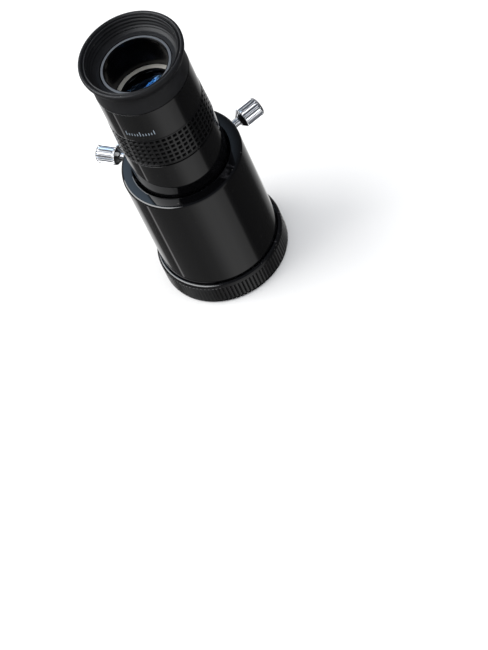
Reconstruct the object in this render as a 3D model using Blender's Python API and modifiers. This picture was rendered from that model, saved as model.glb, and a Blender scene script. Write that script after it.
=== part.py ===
"""A 1.25 inch telescope eyepiece clamped in its holder tube, built as separate turned pieces.

The part stands on the coupling ring's flat lower face: the origin is the centre of that face and
+Z runs along the optical axis towards the observer's eye. The two thumbscrews lie 120 degrees
apart, one each side of the Y axis. Sizes are in millimetres and become metres in the meshes.
"""
import math

import bmesh
import bpy

MM = 0.001
OBJECT_NAME = "telescope_eyepiece"

# Driving dimensions.
BARREL_R = 31.75 / 2            # the 1.25 inch standard barrel
BORE_R = 16.0                   # holder bore, a sliding fit on the barrel
TUBE_R = 20.4                   # holder tube outside
RING_R = 21.8                   # coupling ring outside
HOUSING_R = 15.75               # eyepiece housing outside
GRIP_R = 16.15                  # gridded grip sleeve outside, at its lower edge
GRIP_TOP_R = 15.85              # and at its upper edge
EYECUP_R = 17.2                 # flared rubber rim
LENS_R = 11.3
GAP = 0.3                       # between pieces that touch
CEMENT_GAP = 0.15               # between the two glasses of a doublet

# Heights along the optical axis.
Z_TOP = 106.2                   # eyecup rim
Z_SKIRT = 95.0                  # housing shoulder under the eyecup skirt
Z_GRIP_TOP = 81.9
Z_HOUSING = 68.6                # housing underside
Z_HOLDER = 52.3                 # holder tube top face
Z_SCREW = 48.3                  # thumbscrew axes
Z_BARREL_END = 37.7
Z_TUBE_END = 8.7                # tube shoulder inside the coupling ring
Z_SEAT = 4.4                    # tube neck end, the seat for the telescope

# Thumbscrews, M3, measured outwards from the optical axis.
SCREW_AZIMUTHS = {"right": 29.0, "left": 151.0}
STUD_R = 1.5
STUD_HOLE_R = 1.58
STUD_TIP = BARREL_R + 0.055
STUD_END = 28.0
HEAD_START = 22.9
HEAD_SHOULDER = 24.1
HEAD_END = 31.4
HEAD_R = 3.4

SHELL_STEPS = 48
OPTIC_STEPS = 32
HEAD_STEPS = 20
STUD_STEPS = 16


def clear_scene():
    for old in list(bpy.data.objects):
        bpy.data.objects.remove(old, do_unlink=True)


def new_collection(name):
    collection = bpy.data.collections.new(name)
    bpy.context.scene.collection.children.link(collection)
    return collection


def new_material(name, color, roughness, metallic=0.0, transmission=0.0):
    material = bpy.data.materials.new(name)
    material.use_nodes = True
    shader = material.node_tree.nodes["Principled BSDF"]
    shader.inputs["Base Color"].default_value = (*color, 1.0)
    shader.inputs["Roughness"].default_value = roughness
    shader.inputs["Metallic"].default_value = metallic
    shader.inputs["Transmission Weight"].default_value = transmission
    return material


def new_empty(name, location, parent=None):
    empty = bpy.data.objects.new(name, None)
    parts.objects.link(empty)
    empty.parent = parent
    empty.location = location
    return empty


def turned(name, profile, steps, material, collection, closed=True):
    """A lathe piece about local Z; the profile, in mm at +X, runs down its outer side."""
    mesh = bpy.data.meshes.new(name)
    bm = bmesh.new()
    verts = [bm.verts.new((r * MM, 0.0, z * MM)) for r, z in profile]
    for first, second in zip(verts, verts[1:]):
        bm.edges.new((first, second))
    if closed:
        bm.edges.new((verts[-1], verts[0]))
    bm.to_mesh(mesh)
    bm.free()
    piece = bpy.data.objects.new(name, mesh)
    collection.objects.link(piece)
    mesh.materials.append(material)
    screw = piece.modifiers.new("turn", "SCREW")
    screw.axis = "Z"
    screw.steps = steps
    screw.render_steps = steps
    screw.use_merge_vertices = True
    screw.merge_threshold = 0.00001
    screw.use_smooth_shade = True
    return piece


def add_part(name, profile, steps, material, body, closed=True):
    piece = turned(name, profile, steps, material, parts, closed)
    piece.parent = body
    return piece


def add_ring(name, inner, outer, low, high, material, body):
    """A plain flat ring inside the eyepiece."""
    profile = [(inner, high), (outer, high), (outer, low), (inner, low)]
    return add_part(name, profile, OPTIC_STEPS, material, body)


def cut(target, cutter):
    boolean = target.modifiers.new("cut_" + cutter.name, "BOOLEAN")
    boolean.operation = "DIFFERENCE"
    boolean.solver = "EXACT"
    boolean.object = cutter


def hide_cutter(cutter):
    cutter.hide_render = True
    cutter.display_type = "WIRE"


def arc(center, radius, start_deg, end_deg, count):
    """Points on an arc in the profile plane, both ends included."""
    points = []
    for index in range(count + 1):
        angle = math.radians(start_deg + (end_deg - start_deg) * index / count)
        points.append((center[0] + radius * math.cos(angle), center[1] + radius * math.sin(angle)))
    return points


def add_lens(name, edge_top, rise_top, edge_bottom, drop_bottom, material, body):
    """A lens whose faces bow out by rise_top and drop_bottom; a negative value is hollow."""
    count = 3
    top = []
    bottom = []
    for index in range(count + 1):
        radius = LENS_R * index / count
        bow = 1.0 - (index / count) ** 2
        top.append((radius, edge_top + rise_top * bow))
        bottom.append((radius, edge_bottom - drop_bottom * bow))
    return add_part(name, top + bottom[::-1], OPTIC_STEPS, material, body, closed=False)


def build_eyecup(body):
    """The soft rubber cup, whose skirt grips the bead at the top of the housing."""
    bead_r = 15.2
    neck_r = 14.7
    skirt_r = 15.7
    rim_center = (EYECUP_R - 0.5, Z_TOP - 0.45)
    outside = [(EYECUP_R, Z_TOP - 1.3), (16.55, Z_TOP - 2.9), (15.9, Z_TOP - 4.2)]
    outside += [(skirt_r - 0.05, Z_TOP - 5.2), (skirt_r, Z_SKIRT + GAP)]
    inside = [(neck_r, Z_SKIRT + GAP), (neck_r, 97.7), (bead_r, 97.7), (bead_r, 100.1)]
    flange = [(11.85, 100.1), (11.85, 100.55), (13.05, 100.65)]
    wall = [(13.7, 101.2), (14.35, 102.4), (15.0, 104.6), (15.2, 105.4), (15.8, 105.4)]
    rim = arc(rim_center, 0.45, 180, 0, 4)
    add_part("eyecup", outside + inside + flange + wall + rim, SHELL_STEPS, rubber, body)


def build_housing(body):
    """The black body that carries the optics, with a bead above and a thin flange below."""
    bore = LENS_R + 0.35
    well = 11.25
    outside = [(14.9, 99.8), (14.9, 98.0), (14.4, 98.0), (14.4, Z_SKIRT), (HOUSING_R, Z_SKIRT)]
    outside += [(HOUSING_R, Z_GRIP_TOP), (14.9, Z_GRIP_TOP), (14.9, Z_HOUSING + 0.7)]
    outside += [(16.15, Z_HOUSING + 0.7), (16.15, Z_HOUSING)]
    inside = [(14.45, Z_HOUSING), (14.45, 74.3), (bore, 74.3), (bore, 86.6)]
    inside += [(well, 86.6), (well, 98.4), (11.85, 98.4), (11.85, 99.8)]
    add_part("housing", outside + inside, SHELL_STEPS, gloss_black, body)


def build_grip(body):
    """The gridded sleeve around the lower half of the housing."""
    top = Z_GRIP_TOP - GAP
    bottom = Z_HOUSING + 1.0
    profile = [(15.2, top), (GRIP_TOP_R - 0.2, top), (GRIP_TOP_R, top - 0.2), (GRIP_R, bottom + 0.2)]
    profile += [(GRIP_R - 0.2, bottom), (15.2, bottom)]
    add_part("grip_sleeve", profile, SHELL_STEPS, satin_black, body)


def build_optics(body):
    """Two cemented doublets with their crowns facing, a Plossl arrangement, and their rings."""
    add_ring("eye_aperture_ring", 10.42, 11.55, 98.7, 100.45, grey_ring, body)
    add_ring("eye_lens_retainer", 9.4, LENS_R + 0.05, 85.3, 86.3, pale_ring, body)
    add_lens("eye_lens_flint", 85.0, 0.35, 81.6, -2.1, glass, body)
    add_lens("eye_lens_crown", 81.6 - CEMENT_GAP, 2.1, 80.5, 1.6, glass, body)
    add_ring("lens_spacer", 10.6, LENS_R + 0.05, 76.9, 80.2, satin_black, body)
    add_lens("field_lens_crown", 76.6, 1.6, 75.65, 2.1, glass, body)
    add_lens("field_lens_flint", 75.65 - CEMENT_GAP, -2.1, 72.1, 0.35, glass, body)
    add_ring("field_lens_washer", 10.4, LENS_R + 0.05, 71.2, 71.7, satin_black, body)
    add_ring("field_stop", 11.2, 13.6, 57.6, 59.2, satin_black, body)


def build_barrel(body):
    """The 1.25 inch barrel: a threaded spigot above, a filter thread bore below."""
    bore = 13.9
    thread_r = 14.25
    outside = [(14.15, 74.0), (14.15, Z_HOUSING - GAP), (BARREL_R, Z_HOUSING - GAP)]
    outside += [(BARREL_R, Z_BARREL_END + 0.5), (BARREL_R - 0.5, Z_BARREL_END)]
    inside = [(thread_r, Z_BARREL_END), (thread_r, Z_BARREL_END + 4.0), (bore, Z_BARREL_END + 4.0)]
    inside += [(bore, 68.0), (10.3, 69.9), (10.3, 70.9), (LENS_R + 0.35, 70.9), (LENS_R + 0.35, 74.0)]
    add_part("barrel", outside + inside, SHELL_STEPS, gloss_black, body)


def build_holder(body):
    """The thick walled tube with its clamp screw holes, and the clip that keeps the ring on."""
    neck_r = 19.0
    groove_r = 18.3
    outside = [(TUBE_R - 1.0, Z_HOLDER), (TUBE_R - 0.3, Z_HOLDER - 0.3), (TUBE_R, Z_HOLDER - 1.0)]
    outside += [(TUBE_R, Z_TUBE_END)]
    outside += [(neck_r, Z_TUBE_END), (neck_r, 6.1), (groove_r, 6.1), (groove_r, 5.1)]
    outside += [(neck_r, 5.1), (neck_r, Z_SEAT)]
    inside = [(17.5, Z_SEAT), (17.5, 19.0), (BORE_R, 20.0), (BORE_R, Z_HOLDER - 0.6)]
    inside += [(BORE_R + 0.4, Z_HOLDER)]
    tube = add_part("holder_tube", outside + inside, SHELL_STEPS, gloss_black, body)
    for side, azimuth in SCREW_AZIMUTHS.items():
        drill_profile = [(0.0, 24.0), (STUD_HOLE_R, 24.0), (STUD_HOLE_R, 12.0), (0.0, 12.0)]
        drill = turned("drill_" + side, drill_profile, 24, gloss_black, cutters, closed=False)
        drill.location = (0.0, 0.0, Z_SCREW * MM)
        drill.rotation_euler = (0.0, math.radians(90.0), math.radians(azimuth))
        hide_cutter(drill)
        cut(tube, drill)
    clip_profile = [(18.6, 5.9), (19.9, 5.9), (19.9, 5.3), (18.6, 5.3)]
    clip = add_part("ring_clip", clip_profile, SHELL_STEPS, spring_steel, body)
    bpy.ops.mesh.primitive_cube_add(size=1.0)
    slot = bpy.context.object
    slot.name = "clip_gap"
    for owner in list(slot.users_collection):
        owner.objects.unlink(slot)
    cutters.objects.link(slot)
    slot.location = (0.0, 19.3 * MM, 5.6 * MM)
    slot.scale = (5.0 * MM, 4.0 * MM, 3.0 * MM)
    hide_cutter(slot)
    cut(clip, slot)


def build_coupling_ring(body):
    """The knurled ring, held between the tube's shoulder and the clip, with a socket below."""
    crown_wide = 1.0
    crown_tall = 1.3
    knurl_top = 7.9
    crown = []
    for step in range(4):
        angle = math.radians(90.0 - 30.0 * step)
        radius = RING_R - crown_wide + crown_wide * math.cos(angle)
        crown.append((radius, knurl_top + crown_tall * math.sin(angle)))
    outside = [(20.55, knurl_top + crown_tall)] + crown + [(RING_R, 0.5), (RING_R - 0.5, 0.0)]
    inside = [(20.3, 0.0), (20.3, 6.2), (19.15, 6.2), (19.15, 8.4), (20.55, 8.4)]
    add_part("coupling_ring", outside + inside, SHELL_STEPS, knurled_black, body)


def build_thumbscrew(side, azimuth, root):
    """A clamp screw: a threaded stud and its fluted finger head, lying along local Z."""
    place = new_empty("thumbscrew_" + side + "_axis", (0.0, 0.0, Z_SCREW * MM), root)
    place.rotation_euler = (0.0, math.radians(90.0), math.radians(azimuth))
    point_r = STUD_R - 0.4
    stud = [(0.0, STUD_END), (STUD_R, STUD_END), (STUD_R, STUD_TIP + 0.4), (point_r, STUD_TIP)]
    stud.append((0.0, STUD_TIP))
    add_part("thumbscrew_" + side + "_stud", stud, STUD_STEPS, chrome, place, closed=False)
    socket_r = STUD_R + 0.12
    head = [(0.0, HEAD_END), (HEAD_R - 0.7, HEAD_END), (HEAD_R, HEAD_END - 0.7)]
    head += [(HEAD_R, HEAD_SHOULDER + 0.2), (HEAD_R - 0.25, HEAD_SHOULDER), (2.0, HEAD_START)]
    head += [(socket_r, HEAD_START), (socket_r, STUD_END + GAP), (0.0, STUD_END + GAP)]
    add_part("thumbscrew_" + side + "_head", head, HEAD_STEPS, chrome, place, closed=False)


clear_scene()
parts = new_collection(OBJECT_NAME)
cutters = new_collection("cutters")

rubber = new_material("rubber", (0.045, 0.047, 0.052), 0.7)
gloss_black = new_material("gloss_black", (0.012, 0.012, 0.014), 0.12)
satin_black = new_material("satin_black", (0.02, 0.02, 0.022), 0.45)
knurled_black = new_material("knurled_black", (0.018, 0.018, 0.02), 0.35)
grey_ring = new_material("grey_ring", (0.22, 0.23, 0.25), 0.4)
pale_ring = new_material("pale_ring", (0.5, 0.48, 0.43), 0.4, 0.5)
glass = new_material("glass", (0.9, 0.93, 0.97), 0.02, 0.0, 1.0)
spring_steel = new_material("spring_steel", (0.3, 0.3, 0.32), 0.35, 1.0)
chrome = new_material("chrome", (0.8, 0.8, 0.82), 0.08, 1.0)

holder = new_empty("holder", (0.0, 0.0, 0.0))
eyepiece = new_empty("eyepiece", (0.0, 0.0, 0.0), holder)
ring = new_empty("ring_axis", (0.0, 0.0, 0.0), holder)

build_eyecup(eyepiece)
build_housing(eyepiece)
build_grip(eyepiece)
build_optics(eyepiece)
build_barrel(eyepiece)
build_holder(holder)
build_coupling_ring(ring)
for screw_side, screw_azimuth in SCREW_AZIMUTHS.items():
    build_thumbscrew(screw_side, screw_azimuth, holder)
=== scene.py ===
"""A 1.25 inch telescope eyepiece clamped in its holder tube, with its finishes and a plain studio.

The sections follow the object as it is put together: the holder tube with its clip and knurled ring,
the two clamp screws, the barrel, the glass, the housing, the grip and the rubber eyecup. Profiles are
in millimetres, as a radius and a height above the ring's lower face, and become metres in the meshes.
"""

import math

import bmesh
import bpy
from mathutils import Matrix, Vector


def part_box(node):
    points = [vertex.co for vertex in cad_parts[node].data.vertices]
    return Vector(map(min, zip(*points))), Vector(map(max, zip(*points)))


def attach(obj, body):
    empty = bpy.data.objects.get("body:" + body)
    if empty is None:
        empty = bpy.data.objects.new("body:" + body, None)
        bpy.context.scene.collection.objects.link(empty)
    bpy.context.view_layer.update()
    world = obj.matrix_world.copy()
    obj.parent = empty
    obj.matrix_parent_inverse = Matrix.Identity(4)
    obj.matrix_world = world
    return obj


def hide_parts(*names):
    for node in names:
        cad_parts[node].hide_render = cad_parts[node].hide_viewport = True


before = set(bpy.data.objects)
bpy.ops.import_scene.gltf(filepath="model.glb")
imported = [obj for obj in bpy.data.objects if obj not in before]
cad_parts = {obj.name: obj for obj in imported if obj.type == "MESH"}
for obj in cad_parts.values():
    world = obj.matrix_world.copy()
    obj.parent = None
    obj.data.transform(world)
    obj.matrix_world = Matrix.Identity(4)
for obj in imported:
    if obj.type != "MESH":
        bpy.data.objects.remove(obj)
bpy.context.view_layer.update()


# ---------------------------------------------------------------------------------------------------
# Holder tube: a thick black tube, bored for the 1.25 inch barrel and drilled for two clamp screws.
# Turned aluminium with a deep gloss black coat. Its bore is satin black, and every edge is broken.

MM = 0.001
ROUND = 256                       # steps round a large turned piece
ON_AXIS = 1e-6                    # a radius below this is a point on the axis
SHARP_ANGLE = math.radians(38.0)
IN_DEGREES = 180.0 / math.pi
SCREW_AZIMUTHS = {"right": 29.0, "left": 151.0}
SCREW_HEIGHT = 48.3
SCREW_HOLE_R = 1.58
tube_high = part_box("holder_tube")[1]
TUBE_R = tube_high.x / MM
TUBE_TOP = tube_high.z / MM
TUBE_END = 8.7                    # the foot of the full width, just above the ring's ledge
BORE_R = 16.0
BORE_END = 20.0
LOWER_BORE_R = 17.5
NECK_R = 19.0                     # the neck passes through the coupling ring
NECK_END = 4.4
GROOVE_R = 18.3                   # the clip's groove in the neck
GROOVE_LOW = 5.1
GROOVE_HIGH = 6.1


def rounded(corners, steps=4):
    """The outline through (radius, height, fillet) corners, each fillet as an arc of a few points."""
    outline = []
    count = len(corners)
    for index, (r, z, fillet) in enumerate(corners):
        here = Vector((r, z))
        if fillet <= 0.0:
            outline.append(here)
            continue
        before = Vector(corners[index - 1][:2])
        after = Vector(corners[(index + 1) % count][:2])
        towards_before = (before - here).normalized()
        towards_after = (after - here).normalized()
        half = towards_before.angle(towards_after) / 2.0
        reach = fillet / math.tan(half)
        center = here + (towards_before + towards_after).normalized() * (fillet / math.sin(half))
        start = here + towards_before * reach - center
        end = here + towards_after * reach - center
        sweep = start.angle_signed(end)
        for step in range(steps + 1):
            turn = Matrix.Rotation(-sweep * step / steps, 2)
            outline.append(center + turn @ start)
    return [(point[0], point[1]) for point in outline]


def even_shading(piece):
    """Shades large faces flat up to their rounded edges."""
    even = piece.modifiers.new("even_shading", "WEIGHTED_NORMAL")
    even.keep_sharp = True
    even.weight = 80


def as_piece(name, bm, materials, body, *replaced):
    """Makes the mesh an object that shades smoothly, rides on a body and stands for CAD nodes."""
    mesh = bpy.data.meshes.new(name)
    bmesh.ops.recalc_face_normals(bm, faces=bm.faces)
    bm.to_mesh(mesh)
    bm.free()
    mesh.shade_smooth()
    mesh.set_sharp_from_angle(angle=SHARP_ANGLE)
    for material in materials:
        mesh.materials.append(material)
    piece = bpy.data.objects.new(name, mesh)
    bpy.context.scene.collection.objects.link(piece)
    even_shading(piece)
    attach(piece, body)
    if replaced:
        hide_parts(*replaced)
    return piece


def in_space(r, angle, z):
    """The point, in metres, at a radius and a height in millimetres and an angle round Z."""
    return r * math.cos(angle) * MM, r * math.sin(angle) * MM, z * MM


def turn_profile(bm, outline, steps=ROUND, wobble=None, second=()):
    """Sweeps a closed outline round Z. wobble(angle, r, z) gives each point's own radius and height.

    Faces between outline points whose index is in second take the piece's second material.
    """
    rings = []
    for r, z in outline:
        ring = []
        if r < ON_AXIS:
            ring = [bm.verts.new((0.0, 0.0, z * MM))] * steps
        else:
            for step in range(steps):
                angle = 2.0 * math.pi * step / steps
                radius, height = wobble(angle, r, z) if wobble else (r, z)
                ring.append(bm.verts.new(in_space(radius, angle, height)))
        rings.append(ring)
    for index, ring in enumerate(rings):
        ahead_index = (index + 1) % len(rings)
        following = rings[ahead_index]
        if outline[index][0] < ON_AXIS and outline[ahead_index][0] < ON_AXIS:
            continue
        for step in range(steps):
            ahead = (step + 1) % steps
            corners = [ring[step], following[step], following[ahead], ring[ahead]]
            face = bm.faces.new(list(dict.fromkeys(corners)))
            face.material_index = 1 if index in second else 0
    return bm


def inner_span(outline, low_r):
    """Indices of the outline's segments that lie wholly within a radius: the inside of a hollow piece."""
    inside = set()
    for index, point in enumerate(outline):
        following = outline[(index + 1) % len(outline)]
        if point[0] <= low_r and following[0] <= low_r:
            inside.add(index)
    return inside


# Small helpers for material nodes.

def calc(tree, operation, first, second=None, third=None):
    """A sum on numbers or sockets."""
    node = tree.nodes.new("ShaderNodeMath")
    node.operation = operation
    for socket, value in zip(node.inputs, (first, second, third)):
        if value is None:
            continue
        if isinstance(value, (int, float)):
            socket.default_value = value
        else:
            tree.links.new(value, socket)
    return node.outputs[0]


def spread(tree, value, from_low, from_high, to_low, to_high, smooth=False):
    """Moves a socket's value from one range to another, and stops at its ends."""
    node = tree.nodes.new("ShaderNodeMapRange")
    node.interpolation_type = "SMOOTHSTEP" if smooth else "LINEAR"
    tree.links.new(value, node.inputs["Value"])
    ends = {"From Min": from_low, "From Max": from_high, "To Min": to_low, "To Max": to_high}
    for name, number in ends.items():
        node.inputs[name].default_value = number
    return node.outputs["Result"]


def mixed(tree, mask, first, second):
    """A colour mix; first and second are colours or sockets."""
    node = tree.nodes.new("ShaderNodeMix")
    node.data_type = "RGBA"
    tree.links.new(mask, node.inputs["Factor"])
    for name, value in (("A", first), ("B", second)):
        socket = next(s for s in node.inputs if s.name == name and s.type == "RGBA")
        if isinstance(value, tuple):
            socket.default_value = (*value, 1.0)
        else:
            tree.links.new(value, socket)
    return next(s for s in node.outputs if s.type == "RGBA")


def noise(tree, vector, scale, detail=3.0, roughness=0.5):
    node = tree.nodes.new("ShaderNodeTexNoise")
    tree.links.new(vector, node.inputs["Vector"])
    node.inputs["Scale"].default_value = scale
    node.inputs["Detail"].default_value = detail
    node.inputs["Roughness"].default_value = roughness
    return node.outputs["Fac"]


def split_xyz(tree, vector):
    """The three outputs of a vector socket, by name."""
    node = tree.nodes.new("ShaderNodeSeparateXYZ")
    tree.links.new(vector, node.inputs[0])
    return node.outputs


def new_group(name, inputs, outputs):
    """A shader node group with float inputs and outputs; returns it with its two end nodes."""
    group = bpy.data.node_groups.new(name, "ShaderNodeTree")
    for label, value in inputs:
        socket = group.interface.new_socket(label, in_out="INPUT", socket_type="NodeSocketFloat")
        socket.default_value = value
    for label in outputs:
        group.interface.new_socket(label, in_out="OUTPUT", socket_type="NodeSocketFloat")
    return group, group.nodes.new("NodeGroupInput"), group.nodes.new("NodeGroupOutput")


def use_group(tree, group, **values):
    node = tree.nodes.new("ShaderNodeGroup")
    node.node_tree = group
    for label, value in values.items():
        node.inputs[label].default_value = value
    return node


def scaled_object_coordinates(tree, size):
    """Object coordinates multiplied by a socket."""
    place = tree.nodes.new("ShaderNodeTexCoord")
    scale = tree.nodes.new("ShaderNodeVectorMath")
    scale.operation = "SCALE"
    tree.links.new(place.outputs["Object"], scale.inputs[0])
    tree.links.new(size, scale.inputs["Scale"])
    return scale.outputs[0]


def build_dust():
    """Sparse specks of dust that settle on faces that look up."""
    group, given, result = new_group("dust", [("Scale", 900.0), ("Amount", 0.1)], ["Mask"])
    cells = group.nodes.new("ShaderNodeTexVoronoi")
    cells.feature = "F1"
    cells.inputs["Scale"].default_value = 1.0
    group.links.new(scaled_object_coordinates(group, given.outputs["Scale"]), cells.inputs["Vector"])
    split = group.nodes.new("ShaderNodeSeparateColor")
    group.links.new(cells.outputs["Color"], split.inputs["Color"])
    size = calc(group, "MULTIPLY", split.outputs["Green"], 0.22)
    speck = calc(group, "LESS_THAN", cells.outputs["Distance"], size)
    chosen = calc(group, "LESS_THAN", split.outputs["Red"], given.outputs["Amount"])
    shape = group.nodes.new("ShaderNodeNewGeometry")
    settled = spread(group, split_xyz(group, shape.outputs["Normal"])["Z"], -0.1, 0.7, 0.15, 1.0)
    mask = calc(group, "MULTIPLY", calc(group, "MULTIPLY", speck, chosen), settled)
    group.links.new(mask, result.inputs["Mask"])
    return group


def build_handling():
    """Soft smears from fingers and very fine hairline marks, as a mask and a height."""
    group, given, result = new_group("handling", [("Smear Scale", 90.0), ("Hairline Scale", 260.0)],
                                     ["Smear", "Hairline"])
    smear = noise(group, scaled_object_coordinates(group, given.outputs["Smear Scale"]), 1.0, 4.0, 0.6)
    group.links.new(spread(group, smear, 0.42, 0.72, 0.0, 1.0, smooth=True), result.inputs["Smear"])
    bent = scaled_object_coordinates(group, given.outputs["Hairline Scale"])
    stretch = group.nodes.new("ShaderNodeMapping")
    stretch.inputs["Rotation"].default_value = (0.5, 0.3, 0.9)
    stretch.inputs["Scale"].default_value = (0.25, 6.0, 1.3)
    group.links.new(bent, stretch.inputs["Vector"])
    line = calc(group, "ABSOLUTE", calc(group, "SUBTRACT", noise(group, stretch.outputs[0], 1.0, 2.0), 0.5))
    group.links.new(spread(group, line, 0.0, 0.012, 1.0, 0.0), result.inputs["Hairline"])
    return group


def build_turning_marks():
    """The faint rings that a lathe tool leaves, as a height that changes with height and radius."""
    group, given, result = new_group("turning_marks", [("Pitch", 0.0003)], ["Height"])
    place = group.nodes.new("ShaderNodeTexCoord")
    at = split_xyz(group, place.outputs["Object"])
    flat = calc(group, "SQRT", calc(group, "ADD", calc(group, "POWER", at["X"], 2.0),
                                    calc(group, "POWER", at["Y"], 2.0)))
    along = calc(group, "DIVIDE", calc(group, "ADD", flat, at["Z"]), given.outputs["Pitch"])
    cut = group.nodes.new("ShaderNodeTexNoise")
    cut.noise_dimensions = "1D"
    cut.inputs["Scale"].default_value = 1.0
    cut.inputs["Detail"].default_value = 2.0
    group.links.new(along, cut.inputs["W"])
    group.links.new(cut.outputs["Fac"], result.inputs["Height"])
    return group


def build_edge_wear():
    """Bright rubbed edges, where the surface is sharply convex."""
    group, given, result = new_group("edge_wear", [("Start", 0.53), ("Full", 0.6)], ["Mask"])
    shape = group.nodes.new("ShaderNodeNewGeometry")
    place = group.nodes.new("ShaderNodeTexCoord")
    broken = noise(group, place.outputs["Object"], 700.0, 3.0)
    edge = group.nodes.new("ShaderNodeMapRange")
    edge.interpolation_type = "SMOOTHSTEP"
    group.links.new(shape.outputs["Pointiness"], edge.inputs["Value"])
    group.links.new(given.outputs["Start"], edge.inputs["From Min"])
    group.links.new(given.outputs["Full"], edge.inputs["From Max"])
    mask = calc(group, "MULTIPLY", edge.outputs["Result"], spread(group, broken, 0.35, 0.65, 0.0, 1.0))
    group.links.new(mask, result.inputs["Mask"])
    return group


dust = build_dust()
handling = build_handling()
turning_marks = build_turning_marks()
edge_wear = build_edge_wear()
DUST_COLOR = (0.32, 0.31, 0.29)


def new_material(name):
    """A material whose shader is ready to be set; returns it with its tree and shader."""
    material = bpy.data.materials.new(name)
    material.use_nodes = True
    tree = material.node_tree
    return material, tree, tree.nodes["Principled BSDF"]


def finish(tree, shader, color, roughness):
    """Gives the shader its colour and roughness."""
    tree.links.new(color, shader.inputs["Base Color"])
    tree.links.new(roughness, shader.inputs["Roughness"])


def bump_from(tree, shader, height, distance):
    """Raises the surface by a height from 0 to 1 times a distance in metres."""
    bump = tree.nodes.new("ShaderNodeBump")
    bump.inputs["Distance"].default_value = distance
    bump.inputs["Strength"].default_value = 1.0
    tree.links.new(height, bump.inputs["Height"])
    tree.links.new(bump.outputs["Normal"], shader.inputs["Normal"])


def black_coat(name, color, roughness, worn_color, dust_amount=0.02, marks=0.0, smears=0.02):
    """Black finish on turned metal: smears, hairlines, worn edges, dust, and lathe rings if asked for."""
    material, tree, shader = new_material(name)
    touched = use_group(tree, handling)
    worn = use_group(tree, edge_wear)
    specks = use_group(tree, dust, Scale=2400.0, Amount=dust_amount)
    base = mixed(tree, worn.outputs["Mask"], color, worn_color)
    base = mixed(tree, specks.outputs["Mask"], base, DUST_COLOR)
    smear = calc(tree, "MULTIPLY", touched.outputs["Smear"], smears)
    hair = calc(tree, "MULTIPLY", touched.outputs["Hairline"], smears)
    rough = calc(tree, "ADD", calc(tree, "ADD", smear, hair), roughness)
    rough = calc(tree, "ADD", rough, calc(tree, "MULTIPLY", specks.outputs["Mask"], 0.5))
    finish(tree, shader, base, rough)
    shader.inputs["IOR"].default_value = 1.5
    if marks > 0.0:
        bump_from(tree, shader, use_group(tree, turning_marks).outputs["Height"], marks)
    return material


gloss_black = black_coat("gloss_black_coat", (0.0015, 0.0015, 0.0018), 0.035, (0.02, 0.02, 0.022))
satin_bore = black_coat("satin_black_bore", (0.004, 0.004, 0.005), 0.4, (0.02, 0.02, 0.022),
                        marks=0.000008)

# The top face falls by a hair from a low lip at the bore to the broad rounded edge outside.
tube_outline = rounded([
    (TUBE_R, TUBE_TOP - 0.09, 0.95), (TUBE_R, TUBE_END, 0.1), (NECK_R, TUBE_END, 0.0),
    (NECK_R, GROOVE_HIGH, 0.1), (GROOVE_R, GROOVE_HIGH, 0.0), (GROOVE_R, GROOVE_LOW, 0.0),
    (NECK_R, GROOVE_LOW, 0.1), (NECK_R, NECK_END, 0.1), (LOWER_BORE_R, NECK_END, 0.1),
    (LOWER_BORE_R, BORE_END - 1.0, 0.0), (BORE_R, BORE_END, 0.1), (BORE_R, TUBE_TOP - 0.7, 0.12),
    (BORE_R + 0.7, TUBE_TOP, 0.08), (BORE_R + 0.85, TUBE_TOP, 0.05), (BORE_R + 0.97, TUBE_TOP - 0.04, 0.05)])
tube_mesh = turn_profile(bmesh.new(), tube_outline, second=inner_span(tube_outline, BORE_R + 0.01))
holder_tube = as_piece("holder_tube_body", tube_mesh, [gloss_black, satin_bore], "holder", "holder_tube")


def screw_place(azimuth):
    """Lays the Z axis along the line of the clamp screw at an azimuth."""
    lay_down = Matrix.Rotation(math.radians(azimuth), 4, "Z") @ Matrix.Rotation(math.radians(90.0), 4, "Y")
    return Matrix.Translation((0.0, 0.0, SCREW_HEIGHT * MM)) @ lay_down


def drilled(piece, azimuth):
    """Cuts a clamp screw's hole with a small countersink through the tube wall."""
    outside = 24.0
    inside = BORE_R - 2.0
    hole = [(0.0, outside), (2.4, outside), (2.4, TUBE_R + 0.12), (1.95, TUBE_R - 0.05),
            (SCREW_HOLE_R, TUBE_R - 0.45), (SCREW_HOLE_R, inside), (0.0, inside)]
    mesh = bpy.data.meshes.new("drill")
    bm = turn_profile(bmesh.new(), hole, steps=48)
    bmesh.ops.recalc_face_normals(bm, faces=bm.faces)
    bm.to_mesh(mesh)
    bm.free()
    drill = bpy.data.objects.new("drill", mesh)
    bpy.context.scene.collection.objects.link(drill)
    mesh.transform(screw_place(azimuth))
    cut = piece.modifiers.new("drill", "BOOLEAN")
    cut.operation = "DIFFERENCE"
    cut.solver = "EXACT"
    cut.object = drill
    bpy.context.view_layer.update()
    result = bpy.data.meshes.new_from_object(piece.evaluated_get(bpy.context.evaluated_depsgraph_get()))
    piece.modifiers.remove(cut)
    piece.data = result
    bpy.data.objects.remove(drill, do_unlink=True)


holder_tube.modifiers.remove(holder_tube.modifiers["even_shading"])
for azimuth in SCREW_AZIMUTHS.values():
    drilled(holder_tube, azimuth)
holder_tube.data.set_sharp_from_angle(angle=SHARP_ANGLE)
even_shading(holder_tube)


# ---------------------------------------------------------------------------------------------------
# Ring clip: an open ring of spring steel that snaps into the groove in the tube's neck and keeps the
# coupling ring from dropping off. Plain drawn steel, in the shape of the CAD part.

def plain_steel(name, color, roughness):
    """Bare metal with a few smears."""
    material, tree, shader = new_material(name)
    touched = use_group(tree, handling, **{"Smear Scale": 400.0, "Hairline Scale": 900.0})
    tone = mixed(tree, touched.outputs["Smear"], color, tuple(0.7 * c for c in color))
    rough = spread(tree, touched.outputs["Hairline"], 0.0, 1.0, roughness, roughness + 0.2)
    finish(tree, shader, tone, rough)
    shader.inputs["Metallic"].default_value = 1.0
    return material


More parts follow.
